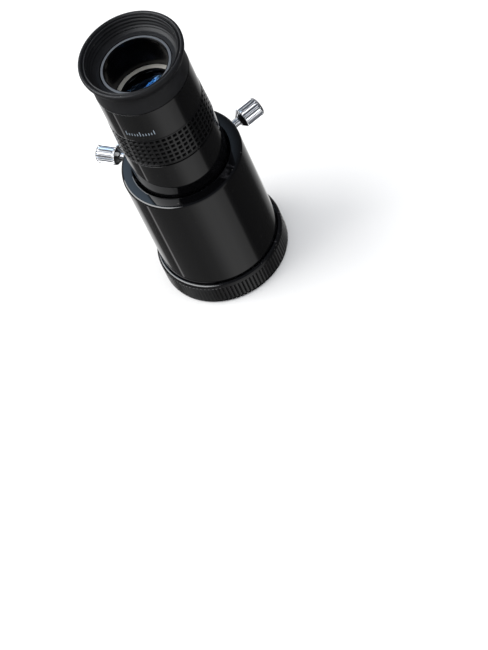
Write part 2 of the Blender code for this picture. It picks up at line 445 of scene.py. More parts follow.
spring_steel = plain_steel("spring_steel", (0.32, 0.32, 0.34), 0.32)
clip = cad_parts["ring_clip"]
clip.data.materials.clear()
clip.data.materials.append(spring_steel)


# ---------------------------------------------------------------------------------------------------
# Coupling ring: turned aluminium with a smooth rounded crown above and a fine straight knurl below,
# coated black. Inside, a threaded socket takes the telescope. It turns freely on the tube's neck.

TEETH = 100
TOOTH_STEPS = 8
TOOTH_DEPTH = 0.42
ring_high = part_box("coupling_ring")[1]
RING_R = ring_high.x / MM
RING_TOP = ring_high.z / MM
KNURL_TOP = 7.7
KNURL_LOW = 0.75
CROWN_LOW = 7.9
SOCKET_R = 20.3
SOCKET_TOP = 6.2
THREAD_PITCH = 0.75
THREAD_TURNS = 6
RIM_BORE_R = 19.15                # round the neck
RIM_TOP = 8.4                     # the ledge under the tube's foot


def knurl_tooth(angle, r, z):
    """Pulls the wall in between the teeth; the cut fades out at the crown and at the lower chamfer."""
    if r < RING_R - 0.05 or not KNURL_LOW - 0.01 <= z <= KNURL_TOP + 0.01:
        return r, z
    phase = angle * TEETH / (2.0 * math.pi) % 1.0
    valley = 1.0 - min(1.0, abs(phase - 0.5) / 0.26)
    return r - TOOTH_DEPTH * valley, z


def arc_points(center, radii, start_deg, end_deg, count):
    """Points along an arc of an ellipse."""
    points = []
    for index in range(count + 1):
        angle = math.radians(start_deg + (end_deg - start_deg) * index / count)
        points.append((center[0] + radii[0] * math.cos(angle), center[1] + radii[1] * math.sin(angle)))
    return points


crown = arc_points((RING_R - 1.05, CROWN_LOW), (1.0, RING_TOP - CROWN_LOW), 90, 0, 8)
wall = [(RING_R - 0.05, KNURL_TOP + 0.04)]
wall += [(RING_R, KNURL_TOP - (KNURL_TOP - KNURL_LOW) * step / 6) for step in range(7)]
wall += [(RING_R - 0.1, KNURL_LOW - 0.2), (RING_R - 0.55, 0.08), (RING_R - 0.75, 0.0)]
socket_wall = [(SOCKET_R + 0.3, 0.0), (SOCKET_R, 0.3)]
for turn in range(THREAD_TURNS):
    z = 0.6 + THREAD_PITCH * turn
    socket_wall += [(SOCKET_R + 0.02, z), (SOCKET_R + 0.32, z + THREAD_PITCH / 2)]
socket_wall += [(SOCKET_R, 5.3), (SOCKET_R, SOCKET_TOP), (RIM_BORE_R, SOCKET_TOP), (RIM_BORE_R, RIM_TOP),
                (SOCKET_R + 0.25, RIM_TOP), (SOCKET_R + 0.25, RING_TOP - 0.15)]
ring_outline = crown + wall + socket_wall
ring_mesh = turn_profile(bmesh.new(), ring_outline, steps=TEETH * TOOTH_STEPS, wobble=knurl_tooth)
knurled_black = black_coat("satin_black_knurl", (0.003, 0.003, 0.0035), 0.13, (0.04, 0.04, 0.042), 0.05)
coupling_ring = as_piece("coupling_ring_body", ring_mesh, [knurled_black], "coupling_ring", "coupling_ring")


# ---------------------------------------------------------------------------------------------------
# Clamp screws: brass, chrome plated bright. Each has a cut M3 thread and a finger head with straight
# flutes, a short cone under it and a domed end. They lie level, 122 degrees apart.

PITCH = 0.5
CUT_DEPTH = 0.38
STUD_R = 1.5
STUD_TIP = 15.93                  # distances along a screw are from the tube's axis
STUD_END = 28.0
FLUTES = 24
FLUTE_DEPTH = 0.34
HEAD_R = 3.4
HEAD_START = 24.1
HEAD_END = 31.4
HEAD_BORE_R = 1.62                # round the stud
HEAD_BORE_END = 28.3
WALL_R = 2.9                      # beyond this radius a face of the head is in its fluted wall


def chrome_plate():
    """Bright chrome plate, lightly handled."""
    material, tree, shader = new_material("chrome_plate")
    touched = use_group(tree, handling, **{"Smear Scale": 300.0, "Hairline Scale": 1500.0})
    specks = use_group(tree, dust, Scale=4500.0, Amount=0.03)
    tone = mixed(tree, touched.outputs["Smear"], (0.86, 0.87, 0.89), (0.78, 0.79, 0.82))
    tone = mixed(tree, specks.outputs["Mask"], tone, (0.3, 0.29, 0.27))
    rough = calc(tree, "ADD", calc(tree, "MULTIPLY", touched.outputs["Smear"], 0.03), 0.025)
    rough = calc(tree, "ADD", rough, calc(tree, "MULTIPLY", touched.outputs["Hairline"], 0.04))
    finish(tree, shader, tone, rough)
    shader.inputs["Metallic"].default_value = 1.0
    return material


def thread_rings():
    """Rings of a cut screw: each ring lists its points' radii and heights, which climb with the angle."""
    steps_round = 28
    steps_per_turn = 8
    rings = []
    count = int((STUD_END - STUD_TIP - 0.5) / PITCH * steps_per_turn)
    for index in range(count + 1):
        z = STUD_TIP + 0.4 + (STUD_END - STUD_TIP - 0.5) * index / count
        ring = []
        for step in range(steps_round):
            phase = (z / PITCH - step / steps_round) % 1.0
            groove = max(0.0, 1.0 - abs(phase - 0.5) / 0.4)
            ring.append((STUD_R - CUT_DEPTH * groove, z))
        rings.append(ring)
    rings.insert(0, [(STUD_R - 0.42, STUD_TIP)] * steps_round)
    rings.append([(STUD_R - 0.35, STUD_END)] * steps_round)
    return rings


def skin_rings(bm, rings):
    """A closed body from rings of (radius, height) points, capped at both ends."""
    skin = []
    for ring in rings:
        steps = len(ring)
        verts = []
        for step, (r, z) in enumerate(ring):
            verts.append(bm.verts.new(in_space(r, 2.0 * math.pi * step / steps, z)))
        skin.append(verts)
    for lower, upper in zip(skin, skin[1:]):
        for step in range(len(lower)):
            ahead = (step + 1) % len(lower)
            bm.faces.new((lower[step], lower[ahead], upper[ahead], upper[step]))
    bm.faces.new(list(reversed(skin[0])))
    bm.faces.new(skin[-1])
    return bm


def flute(angle, r, z):
    """Cuts rounded flutes into the head's wall, which run out at its two ends."""
    fade = min(1.0, max(0.0, (z - HEAD_START - 0.05) / 0.35), max(0.0, (HEAD_END - 0.35 - z) / 0.6))
    if r < WALL_R or fade <= 0.0:
        return r, z
    groove = max(0.0, math.cos(angle * FLUTES)) ** 0.7
    return r - FLUTE_DEPTH * groove * fade, z


chrome = chrome_plate()
# Dark grey metal for the bottoms of the flutes: painted shade in the grooves.
painted_flute_shade_metal = plain_steel("painted_flute_shade_metal", (0.10, 0.10, 0.11), 0.16)
head_outline = [(0.0, HEAD_END), (2.2, HEAD_END), (2.65, HEAD_END - 0.05), (2.98, HEAD_END - 0.22)]
head_outline += [(3.2, HEAD_END - 0.45), (3.34, HEAD_END - 0.75), (HEAD_R, HEAD_END - 1.1)]
head_outline += [(HEAD_R, HEAD_END - 1.1 - 0.7 * step) for step in range(1, 8)]
head_outline += [(HEAD_R, 24.55), (3.36, 24.38), (3.27, 24.2), (3.12, HEAD_START)]
head_outline += [(2.2, 23.2), (2.05, 22.98), (1.95, 22.9), (1.7, 22.9), (HEAD_BORE_R, 23.0)]
head_outline += [(HEAD_BORE_R, HEAD_BORE_END), (0.0, HEAD_BORE_END)]
screw_pieces = []
for side, azimuth in SCREW_AZIMUTHS.items():
    axis_place = screw_place(azimuth)
    stud_mesh = skin_rings(bmesh.new(), thread_rings())
    stud_mesh.transform(axis_place)
    stud = as_piece(side + "_clamp_thread", stud_mesh, [chrome], side + "_stud",
                    "thumbscrew_" + side + "_stud")
    head_mesh = turn_profile(bmesh.new(), head_outline, steps=FLUTES * 10, wobble=flute)
    for face in head_mesh.faces:          # the bottoms of the flutes take dark grey metal: painted shade in the grooves
        middle = face.calc_center_median() / MM
        in_wall = 24.5 < middle.z < HEAD_END - 0.6 and math.hypot(middle.x, middle.y) > WALL_R
        if in_wall and math.cos(FLUTES * math.atan2(middle.y, middle.x)) > 0.72:
            face.material_index = 1
    head_mesh.transform(axis_place)
    head = as_piece(side + "_clamp_head", head_mesh, [chrome, painted_flute_shade_metal], side + "_head",
                    "thumbscrew_" + side + "_head")
    screw_pieces += [stud, head]


# ---------------------------------------------------------------------------------------------------
# Barrel: the 31.75 mm tube that enters the holder. Turned, deep gloss black outside and matt inside,
# with a threaded spigot into the housing above and a filter thread at its lower end.

barrel_low, barrel_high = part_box("barrel")
BARREL_R = barrel_high.x / MM
BARREL_END = barrel_low.z / MM
BARREL_BORE_R = 13.9
SPIGOT_R = 14.15
SPIGOT_TOP = 74.0
HOUSING_END = 68.6
CELL_R = 11.65                    # the bore that holds the glass
LENS_LEDGE_R = 10.3
LENS_LEDGE = 70.9
FILTER_PITCH = 0.6
FILTER_TURNS = 6
BAFFLE_PITCH = 1.0
BAFFLES = 25
barrel_outline = rounded([
    (SPIGOT_R, SPIGOT_TOP, 0.1), (SPIGOT_R, HOUSING_END - 0.3, 0.0), (BARREL_R, HOUSING_END - 0.3, 0.1),
    (BARREL_R, BARREL_END, 0.45), (14.3, BARREL_END, 0.1)])
for turn in range(FILTER_TURNS):
    z = BARREL_END + 0.5 + FILTER_PITCH * turn
    barrel_outline += [(14.25, z), (14.5, z + FILTER_PITCH / 2)]
barrel_outline += [(14.2, 41.7), (BARREL_BORE_R, 41.8)]
for turn in range(BAFFLES):
    z = 42.4 + BAFFLE_PITCH * turn
    barrel_outline += [(BARREL_BORE_R, z), (BARREL_BORE_R + 0.15, z + 0.5 * BAFFLE_PITCH)]
barrel_outline += [(BARREL_BORE_R, 68.0), (LENS_LEDGE_R, LENS_LEDGE - 1.0), (LENS_LEDGE_R, LENS_LEDGE),
                   (CELL_R, LENS_LEDGE), (CELL_R, SPIGOT_TOP)]
barrel_mesh = turn_profile(bmesh.new(), barrel_outline, second=inner_span(barrel_outline, 14.6))
matt_black = black_coat("matt_black_inside", (0.004, 0.004, 0.0045), 0.6, (0.02, 0.02, 0.02), 0.01,
                        marks=0.00001, smears=0.05)
barrel = as_piece("barrel_tube", barrel_mesh, [gloss_black, matt_black], "eyepiece", "barrel")


# ---------------------------------------------------------------------------------------------------
# Optics: two cemented doublets with their crowns facing, held apart by a spacer, with a washer under
# them, a stop in the barrel and a retaining ring of bare warm grey metal over the eye lens.

LENS_R = 11.3


def ring_piece(name, node, material, chamfer=0.12, bore=None, lip=0.0):
    """A turned ring in the place of a CAD ring, edges broken.

    Its bore may have its own material, which also covers a chamfer as wide as lip at the bore's top.
    """
    low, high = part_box(node)
    inner = INNER_RADII[node]
    outer = high.x / MM
    z_low = low.z / MM
    z_high = high.z / MM
    mouth = [(inner, z_high, chamfer)]
    inside = ()
    if bore:
        mouth = [(inner, z_high - 0.4 * lip, 0.02), (inner + lip, z_high, 0.03)]
    outline = rounded([(outer, z_high, chamfer), (outer, z_low, chamfer), (inner, z_low, chamfer)] + mouth)
    if bore:
        inside = inner_span(outline, inner + lip + 0.001)
    mesh = turn_profile(bmesh.new(), outline, second=inside)
    piece = as_piece(name, mesh, [material, bore] if bore else [material], "eyepiece", node)
    return piece


def coated_glass(name, tint, level):
    """Polished glass with an anti-reflection coat that leaves a coloured reflection."""
    material, tree, shader = new_material(name)
    specks = use_group(tree, dust, Scale=1500.0, Amount=0.015)
    tone = mixed(tree, specks.outputs["Mask"], (0.93, 0.95, 0.97), DUST_COLOR)
    finish(tree, shader, tone, calc(tree, "MULTIPLY", specks.outputs["Mask"], 0.4))
    shader.inputs["Transmission Weight"].default_value = 1.0
    shader.inputs["IOR"].default_value = 1.52
    shader.inputs["Specular IOR Level"].default_value = level
    shader.inputs["Specular Tint"].default_value = (*tint, 1.0)
    return material


def lens_piece(name, node, glass, top, bottom):
    """A lens in the place of a CAD lens. top and bottom are (edge height, bow), outwards positive."""
    count = 12
    rim = 0.12
    upper = []
    lower = []
    for index in range(count + 1):
        radius = (LENS_R - rim) * index / count
        bow = 1.0 - (index / count) ** 2
        upper.append((radius, top[0] + top[1] * bow))
        lower.append((radius, bottom[0] - bottom[1] * bow))
    outline = upper + [(LENS_R, top[0] - rim), (LENS_R, bottom[0] + rim)] + lower[::-1]
    piece = as_piece(name, turn_profile(bmesh.new(), outline, steps=96), [glass], "eyepiece", node)
    return piece


INNER_RADII = {"eye_aperture_ring": 10.42, "eye_lens_retainer": 9.4, "lens_spacer": 10.6,
               "field_lens_washer": 10.4, "field_stop": 11.2}
eye_glass = coated_glass("eye_lens_glass", (0.45, 0.62, 1.0), 0.5)
inner_glass = coated_glass("inner_lens_glass", (0.2, 0.5, 1.0), 0.8)
field_glass = coated_glass("field_lens_glass", (0.5, 0.8, 0.75), 0.4)
eye_doublet = [
    lens_piece("eye_lens_front", "eye_lens_flint", eye_glass, (85.0, 0.35), (81.6, -2.1)),
    lens_piece("eye_lens_rear", "eye_lens_crown", inner_glass, (81.45, 2.1), (80.5, 1.6))]
lens_piece("field_lens_front", "field_lens_crown", inner_glass, (76.6, 1.6), (75.65, 2.1))
lens_piece("field_lens_rear", "field_lens_flint", field_glass, (75.5, -2.1), (72.1, 0.35))
ring_piece("lens_spacer_ring", "lens_spacer", matt_black)
ring_piece("field_lens_washer_ring", "field_lens_washer", matt_black, 0.08)
ring_piece("field_stop_ring", "field_stop", matt_black)


def bare_ring_metal():
    """Warm light grey metal, turned and left dull."""
    material, tree, shader = new_material("bare_ring_metal")
    rings = use_group(tree, turning_marks, Pitch=0.00012)
    touched = use_group(tree, handling, **{"Smear Scale": 500.0})
    specks = use_group(tree, dust, Scale=2500.0, Amount=0.06)
    tone = mixed(tree, touched.outputs["Smear"], (0.78, 0.76, 0.70), (0.68, 0.66, 0.61))
    tone = mixed(tree, specks.outputs["Mask"], tone, (0.2, 0.19, 0.18))
    finish(tree, shader, tone, spread(tree, touched.outputs["Smear"], 0.0, 1.0, 0.38, 0.5))
    shader.inputs["Metallic"].default_value = 0.25
    bump_from(tree, shader, rings.outputs["Height"], 0.00001)
    return material


well_black = black_coat("well_black", (0.001, 0.001, 0.0014), 0.2, (0.004, 0.004, 0.004), 0.01,
                        marks=0.000002)
well_black.node_tree.nodes["Principled BSDF"].inputs["Specular IOR Level"].default_value = 0.22
ring_piece("eye_lens_retaining_ring", "eye_lens_retainer", bare_ring_metal(), 0.15,
           well_black, 0.35)


# ---------------------------------------------------------------------------------------------------
# Housing: the black body round the glass. Turned, gloss black outside with a printed index scale in
# pale ink, dull in the deep well over the eye lens. The bead at its top holds the eyecup.

HOUSING_R = 15.75
FLANGE_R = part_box("housing")[1].x / MM
FLANGE_TOP = HOUSING_END + 0.95
GRIP_TOP = 81.9
SKIRT_END = 95.0
BEAD_R = 14.9                     # also the seat under the grip
BEAD_LOW = 98.0
HOUSING_TOP = 99.8
SOCKET_WALL_R = 14.45             # round the barrel's spigot
CELL_LOW = 74.3
CELL_TOP = 86.6
WELL_R = 11.25
RING_SEAT_R = 11.85
RING_SEAT = 98.4
housing_outline = rounded([
    (BEAD_R, HOUSING_TOP, 0.15), (BEAD_R, BEAD_LOW, 0.1), (14.4, BEAD_LOW, 0.0), (14.4, SKIRT_END, 0.0),
    (HOUSING_R, SKIRT_END, 0.06), (HOUSING_R, GRIP_TOP, 0.05), (BEAD_R, GRIP_TOP, 0.0),
    (BEAD_R, FLANGE_TOP, 0.0), (FLANGE_R, FLANGE_TOP, 0.05), (FLANGE_R, HOUSING_END + 0.6, 0.1),
    (FLANGE_R - 0.7, HOUSING_END, 0.1), (SOCKET_WALL_R, HOUSING_END, 0.0), (SOCKET_WALL_R, CELL_LOW, 0.0),
    (CELL_R, CELL_LOW, 0.0), (CELL_R, CELL_TOP, 0.0), (WELL_R, CELL_TOP, 0.08), (WELL_R, RING_SEAT, 0.1),
    (RING_SEAT_R, RING_SEAT, 0.0), (RING_SEAT_R, HOUSING_TOP, 0.1)])
housing_mesh = turn_profile(bmesh.new(), housing_outline, second=inner_span(housing_outline, 14.5))


INK_COLOR = (0.30, 0.36, 0.42)
SCALE_START = -128.0              # degrees, as are the next step and width
TICK_STEP = 3.4
TICK_WIDTH = 0.9
TICKS = 11
TICK_LOW = 0.0845                 # metres, as are the two lengths
TICK_SHORT = 0.0011
TICK_LONG = 0.0020


def printed_black():
    """The gloss black coat with a printed scale: a row of fine ticks, every fifth one longer."""
    material = gloss_black.copy()
    material.name = "gloss_black_printed"
    tree = material.node_tree
    shader = tree.nodes["Principled BSDF"]
    place = tree.nodes.new("ShaderNodeTexCoord")
    at = split_xyz(tree, place.outputs["Object"])
    azimuth = calc(tree, "ARCTAN2", at["Y"], at["X"])
    around = calc(tree, "MULTIPLY", calc(tree, "SUBTRACT", azimuth, math.radians(SCALE_START)), IN_DEGREES)
    index = calc(tree, "DIVIDE", around, TICK_STEP)
    offset = calc(tree, "ABSOLUTE", calc(tree, "SUBTRACT", calc(tree, "FRACT", index), 0.5))
    line = calc(tree, "LESS_THAN", offset, TICK_WIDTH / TICK_STEP / 2.0)
    fifth = calc(tree, "MODULO", calc(tree, "FLOOR", index), 5.0)
    is_long = calc(tree, "LESS_THAN", fifth, 0.5)
    top = calc(tree, "ADD", calc(tree, "MULTIPLY", is_long, TICK_LONG - TICK_SHORT), TICK_LOW + TICK_SHORT)
    above = calc(tree, "GREATER_THAN", at["Z"], TICK_LOW)
    below = calc(tree, "LESS_THAN", at["Z"], top)
    begun = calc(tree, "GREATER_THAN", index, 0.0)
    ended = calc(tree, "LESS_THAN", index, float(TICKS))
    mask = line
    for condition in (above, below, begun, ended):
        mask = calc(tree, "MULTIPLY", mask, condition)
    ink = noise(tree, place.outputs["Object"], 4000.0, 2.0)
    mask = calc(tree, "MULTIPLY", mask, spread(tree, ink, 0.3, 0.45, 0.55, 1.0))
    under = shader.inputs["Base Color"].links[0].from_socket
    tree.links.new(mixed(tree, mask, under, INK_COLOR), shader.inputs["Base Color"])
    return material


housing = as_piece("housing_body", housing_mesh, [printed_black(), well_black], "eyepiece", "housing")


# ---------------------------------------------------------------------------------------------------
# Grip: a band round the lower housing with six rows of small square pits, so that fingers hold it.
# Moulded and glossy black, with painted shade in the pits. It stands on the housing's flange and is a slight
# cone.

grip_low, grip_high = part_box("grip_sleeve")
GRIP_WIDE = grip_high.x / MM
GRIP_NARROW = GRIP_WIDE - 0.3
GRIP_LOW = grip_low.z / MM
GRIP_HIGH = GRIP_TOP - 0.05
GRIP_BORE_R = 15.2
COLUMNS = 52
ROWS = 6
ROWS_MARGIN = 0.12                # plain band above and below the rows
PIT_DEPTH = 0.55
PIT_WIDE = 0.35                   # half of a pit, as a share of its cell
PIT_TALL = 0.33
WALL_SHARE = 0.4                  # how much of that half is sloping wall
CELL_STEPS = (-1.08, -1.0, -0.85, -0.6, 0.0, 0.6, 0.85, 1.0, 1.08)


def pit(across, up):
    """How deep the square pit is at a place in its cell: four steep walls and a flat floor."""
    reach = max(abs(across - 0.5) / PIT_WIDE, abs(up - 0.5) / PIT_TALL)
    return min(1.0, max(0.0, (1.0 - reach) / WALL_SHARE))


def grip_radius(z):
    """The band is a slight cone, wider at its lower edge."""
    share = (z - GRIP_LOW) / (GRIP_HIGH - GRIP_LOW)
    return GRIP_WIDE + (GRIP_NARROW - GRIP_WIDE) * share


row_height = (GRIP_HIGH - GRIP_LOW - 2 * ROWS_MARGIN) / ROWS
columns = [(column + 0.5 + PIT_WIDE * step) / COLUMNS for column in range(COLUMNS) for step in CELL_STEPS]
heights = [row + 0.5 + PIT_TALL * step for row in range(ROWS) for step in CELL_STEPS]
heights = [0.0] + heights + [float(ROWS)]
lower_edge = [(GRIP_BORE_R, GRIP_LOW), (GRIP_WIDE - 0.1, GRIP_LOW), (GRIP_WIDE - 0.02, GRIP_LOW + 0.05)]
upper_edge = [(GRIP_NARROW - 0.02, GRIP_HIGH - 0.04), (GRIP_NARROW - 0.1, GRIP_HIGH),
              (GRIP_BORE_R, GRIP_HIGH)]
grip_rings = [[point] * len(columns) for point in lower_edge]
for height in heights:
    z = GRIP_LOW + ROWS_MARGIN + row_height * height
    depths = [PIT_DEPTH * pit(place * COLUMNS % 1.0, height % 1.0) for place in columns]
    grip_rings.append([(grip_radius(z) - depth, z) for depth in depths])
grip_rings += [[point] * len(columns) for point in upper_edge]
grip_mesh = bmesh.new()
skin = []
for ring in grip_rings:
    skin.append([grip_mesh.verts.new(in_space(r, 2.0 * math.pi * place, z))
                 for place, (r, z) in zip(columns, ring)])
first_row = len(lower_edge)
for index, lower in enumerate(skin):
    upper = skin[(index + 1) % len(skin)]
    for step in range(len(lower)):
        ahead = (step + 1) % len(lower)
        face = grip_mesh.faces.new((lower[step], lower[ahead], upper[ahead], upper[step]))
        if first_row <= index < first_row + len(heights) - 1:
            across = (columns[step] + columns[ahead] + (1.0 if ahead == 0 else 0.0)) / 2.0 * COLUMNS % 1.0
            up = (heights[index - first_row] + heights[index - first_row + 1]) / 2.0 % 1.0
            face.material_index = 1 if pit(across, up) > 0.05 else 0


def moulded_rubber(name, color, pale, roughness, grain, grain_size, level, dust_amount):
    """Moulded black rubber: a fine even grain, a slight bloom in patches, and dust."""
    material, tree, shader = new_material(name)
    place = tree.nodes.new("ShaderNodeTexCoord")
    patches = noise(tree, place.outputs["Object"], 160.0, 4.0, 0.6)
    bloom = spread(tree, patches, 0.4, 0.7, 0.0, 1.0, smooth=True)
    specks = use_group(tree, dust, Scale=2200.0, Amount=dust_amount)
    tone = mixed(tree, bloom, color, pale)
    tone = mixed(tree, specks.outputs["Mask"], tone, DUST_COLOR)
    fine = noise(tree, place.outputs["Object"], grain_size, 3.0, 0.6)
    rough = calc(tree, "ADD", spread(tree, fine, 0.3, 0.7, -0.05, 0.05), roughness)
    finish(tree, shader, tone, rough)
    shader.inputs["Specular IOR Level"].default_value = level
    bump_from(tree, shader, fine, grain)
    return material


grip_rubber = moulded_rubber("grip_rubber", (0.002, 0.002, 0.0025), (0.003, 0.003, 0.0035), 0.12,
                             0.0000005, 9000.0, 0.5, 0.02)
# The pits take a darker rubber that barely reflects: painted shade in the pits.
pit_painted_shade_rubber = moulded_rubber("pit_painted_shade_rubber", (0.0015, 0.0015, 0.0018), (0.003, 0.003, 0.0033), 0.38,
                            0.000002, 9000.0, 0.1, 0.02)
grip = as_piece("grip_band", grip_mesh, [grip_rubber, pit_painted_shade_rubber], "eyepiece", "grip_sleeve")


# ---------------------------------------------------------------------------------------------------
# Aperture ring: the light grey plastic ring round the mouth of the well, at the floor of the eyecup.
# Turned and satin, with a black chamfer and bore.

def satin_grey():
    """Satin grey plastic with faint turning rings."""
    material, tree, shader = new_material("satin_grey_plastic")
    rings = use_group(tree, turning_marks, Pitch=0.00015)
    touched = use_group(tree, handling, **{"Smear Scale": 300.0})
    specks = use_group(tree, dust, Scale=1800.0, Amount=0.08)
    tone = mixed(tree, touched.outputs["Smear"], (0.11, 0.12, 0.135), (0.095, 0.104, 0.117))
    tone = mixed(tree, specks.outputs["Mask"], tone, DUST_COLOR)
    finish(tree, shader, tone, spread(tree, touched.outputs["Smear"], 0.0, 1.0, 0.36, 0.46))
    bump_from(tree, shader, rings.outputs["Height"], 0.000008)
    return material


ring_piece("eye_aperture_ring_body", "eye_aperture_ring", satin_grey(), 0.1, well_black, 0.36)


# ---------------------------------------------------------------------------------------------------
# Eyecup: soft matt black rubber. A thick rolled rim, four fine ridges round the inside of the cup, an
# inner flange round the aperture ring, and a skirt that grips the bead at the top of the housing.

cup_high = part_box("eyecup")[1]
CUP_R = cup_high.x / MM
CUP_TOP = cup_high.z / MM
CUP_END = SKIRT_END + 0.02
SKIRT_R = 15.7


def smooth_line(points, steps=6):
    """A smooth curve through the points, from the first to the last."""
    line = []
    count = len(points)
    for index in range(count - 1):
        around = [Vector(points[max(0, index - 1)]), Vector(points[index]), Vector(points[index + 1]),
                  Vector(points[min(count - 1, index + 2)])]
        for step in range(steps):
            t = step / steps
            place = (2.0 * around[1] + (around[2] - around[0]) * t
                     + (2.0 * around[0] - 5.0 * around[1] + 4.0 * around[2] - around[3]) * t * t
                     + (3.0 * around[1] - around[0] - 3.0 * around[2] + around[3]) * t * t * t) / 2.0
            line.append((place[0], place[1]))
    return line + [points[-1]]


# The rim, the flare under it, the skirt with its inner flange, and the ridged inside.
cup_outline = arc_points((CUP_R - 0.65, CUP_TOP - 0.8), (0.65, 0.8), 185, -8, 22)
cup_outline += smooth_line([(CUP_R - 0.06, CUP_TOP - 1.1), (CUP_R - 0.16, CUP_TOP - 1.7),
                            (CUP_R - 0.45, CUP_TOP - 2.4), (CUP_R - 0.87, CUP_TOP - 3.1),
                            (SKIRT_R + 0.22, CUP_TOP - 3.9), (SKIRT_R + 0.04, CUP_TOP - 4.6),
                            (SKIRT_R, CUP_TOP - 5.4)], 3)
cup_outline += [(SKIRT_R, CUP_END + 0.35), (SKIRT_R - 0.08, CUP_END + 0.1), (SKIRT_R - 0.3, CUP_END)]
cup_outline += [(14.7, CUP_END), (14.7, 97.7), (15.2, 97.7), (15.2, 100.1), (RING_SEAT_R, 100.1),
                (RING_SEAT_R, 100.45)]
cup_outline += smooth_line([(11.95, 100.58), (12.5, 100.62), (13.05, 100.66), (13.4, 100.85), (14.1, 101.42),
                            (13.92, 101.85), (14.35, 102.35), (14.42, 102.85), (14.78, 103.5), (14.7, 104.1),
                            (15.08, 104.72), (15.02, 105.35), (15.25, 105.68), (15.6, 105.5), (15.85, 105.28)])
cup_mesh = turn_profile(bmesh.new(), cup_outline)
cup_rubber = moulded_rubber("eyecup_rubber", (0.0075, 0.0078, 0.009), (0.010, 0.0103, 0.012), 0.5,
                            0.000008, 6000.0, 0.21, 0.05)
eyecup = as_piece("eyecup_rubber_cup", cup_mesh, [cup_rubber], "eyepiece", "eyecup")


# ---------------------------------------------------------------------------------------------------
# Studio: a plain pale floor, a pale surround, soft light from above, and a room of grey walls, bright
# panels and windows that show only in reflections. The camera looks down and its head is tilted.

VIEW_AZIMUTH = 13.3
VIEW_ELEVATION = 52.22
VIEW_ROLL = 26.58
VIEW_DISTANCE = 0.925
FOCAL = 166.15
SENSOR = 36.0


def floor_material():
    """Plain pale paper, which is clear from below so that the underside can be looked at."""
    material, tree, shader = new_material("pale_floor")
    side = tree.nodes.new("ShaderNodeNewGeometry")
    tree.links.new(calc(tree, "SUBTRACT", 1.0, side.outputs["Backfacing"]), shader.inputs["Alpha"])
    place = tree.nodes.new("ShaderNodeTexCoord")
    clouds = noise(tree, place.outputs["Object"], 3.0, 2.0)
    tone = mixed(tree, clouds, (0.88, 0.88, 0.88), (0.90, 0.90, 0.90))
    tree.links.new(tone, shader.inputs["Base Color"])
    shader.inputs["Roughness"].default_value = 0.9
    shader.inputs["Specular IOR Level"].default_value = 0.1
    return material


bpy.ops.mesh.primitive_plane_add(size=12.0, location=(0.0, 0.0, 0.0))
floor = bpy.context.object
floor.name = "floor"
floor.data.materials.append(floor_material())
floor.visible_glossy = False


# Brightness of the room's walls by bearing: 0 is straight behind the object, 180 behind the camera,
# and positive bearings are to the left of the view.
WALLS = [(-180.0, 0.66), (-162.0, 0.64), (-148.0, 0.50), (-138.0, 0.42), (-133.0, 0.10), (-126.0, 0.055),
         (-70.0, 0.045), (-58.0, 0.07), (-46.0, 0.28), (-30.0, 0.5), (-18.0, 0.85), (0.0, 0.95),
         (28.0, 0.85), (37.0, 0.62), (43.0, 0.15), (62.0, 0.10), (66.0, 0.13), (68.0, 0.95), (70.0, 0.95),
         (72.0, 0.2), (92.0, 0.17), (126.0, 0.19), (150.0, 0.28), (160.0, 0.42), (172.0, 0.60),
         (180.0, 0.66)]
CEILING = (0.10, 0.11, 0.13)
CEILING_STARTS = (12.0, 26.0)     # elevations over which the walls become the ceiling
GROUND = (0.02, 0.02, 0.02)
GROUND_STARTS = (-66.0, -58.0)
AMBIENT = (0.80, 0.81, 0.83)
BACKDROP = (0.93, 0.93, 0.93)
CARDS = [                         # bearing, elevation, half width, half height, softness, colour
    (17.0, 54.0, 17.0, 14.0, 9.0, (1.1, 1.45, 1.85)),
    (86.0, 40.0, 42.0, 19.0, 3.0, (2.2, 2.22, 2.25)),
]


def surround():
    """The world: pale to the camera, even to matt surfaces, and the room in reflections."""
    world = bpy.data.worlds.new("studio")
    world.cycles.sampling_method = "NONE"
    bpy.context.scene.world = world
    world.use_nodes = True
    tree = world.node_tree
    tree.nodes.clear()
    place = tree.nodes.new("ShaderNodeTexCoord")
    towards = split_xyz(tree, place.outputs["Generated"])
    azimuth = calc(tree, "ARCTAN2", towards["Y"], towards["X"])
    azimuth = calc(tree, "MULTIPLY", azimuth, IN_DEGREES)
    turned = calc(tree, "SUBTRACT", azimuth, VIEW_AZIMUTH + 90.0)
    bearing = calc(tree, "WRAP", turned, 180.0, -180.0)
    share = spread(tree, bearing, -180.0, 180.0, 0.0, 1.0)
    walls = tree.nodes.new("ShaderNodeValToRGB")
    walls.color_ramp.interpolation = "LINEAR"
    stops = walls.color_ramp.elements
    while len(stops) > 1:
        stops.remove(stops[-1])
    stops[0].position = 0.0
    stops[0].color = (WALLS[0][1],) * 3 + (1.0,)
    for angle, value in WALLS[1:]:
        stop = stops.new((angle + 180.0) / 360.0)
        stop.color = (value, value, value, 1.0)
    tree.links.new(share, walls.inputs["Fac"])
    height = calc(tree, "MULTIPLY", calc(tree, "ARCSINE", towards["Z"]), IN_DEGREES)
    upper = spread(tree, height, *CEILING_STARTS, 0.0, 1.0, smooth=True)
    total = mixed(tree, upper, walls.outputs["Color"], CEILING)
    total = mixed(tree, spread(tree, height, *GROUND_STARTS, 1.0, 0.0, smooth=True), total, GROUND)
    for card in CARDS:
        total = add_card(tree, total, bearing, height, *card)
    path = tree.nodes.new("ShaderNodeLightPath")
    plain = mixed(tree, path.outputs["Is Camera Ray"], AMBIENT, BACKDROP)
    seen = mixed(tree, path.outputs["Is Glossy Ray"], plain, total)
    light = tree.nodes.new("ShaderNodeBackground")
    tree.links.new(seen, light.inputs["Color"])
    output = tree.nodes.new("ShaderNodeOutputWorld")
    tree.links.new(light.outputs[0], output.inputs["Surface"])


